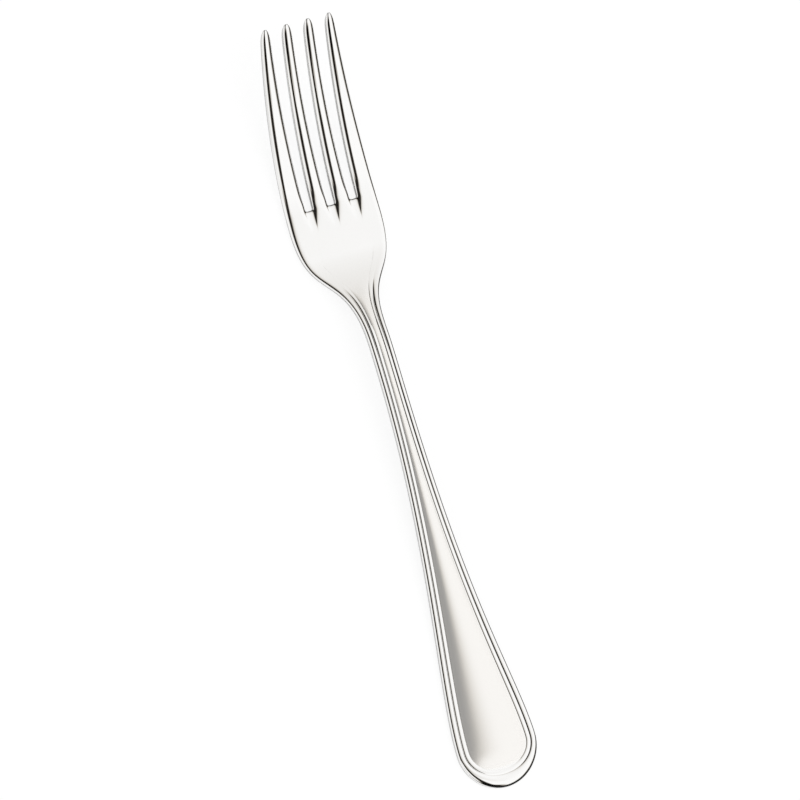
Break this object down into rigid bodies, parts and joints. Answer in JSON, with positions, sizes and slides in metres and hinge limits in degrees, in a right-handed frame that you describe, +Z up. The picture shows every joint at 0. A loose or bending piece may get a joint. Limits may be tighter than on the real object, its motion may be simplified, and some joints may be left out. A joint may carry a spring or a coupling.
{
  "type": "serving fork",
  "caption": "Polished stainless steel serving fork: curved tines on a broad shouldered head, a slim arched neck and a flaring round-ended handle with a raised thread border.",
  "frame": {"origin": "centre of the fork's outline in plan, at the height of the table that it lies on", "axes": "+Y from the end of the handle towards the tips of the tines, +X to the right when seen from the face with the tines away from the viewer, +Z up, so that the face with the border and the hollow of the tines looks up"},
  "size_m": [0.0296, 0.24, 0.0222],
  "materials": {
    "steel": "mirror polished, with a softer polish on the panel of the handle"
  },
  "bodies": {
    "root": {"handle": "steel", "neck": "steel", "head": "steel", "left_outer_tine": "steel", "left_inner_tine": "steel", "right_inner_tine": "steel", "right_outer_tine": "steel"}
  },
  "joints": []
}
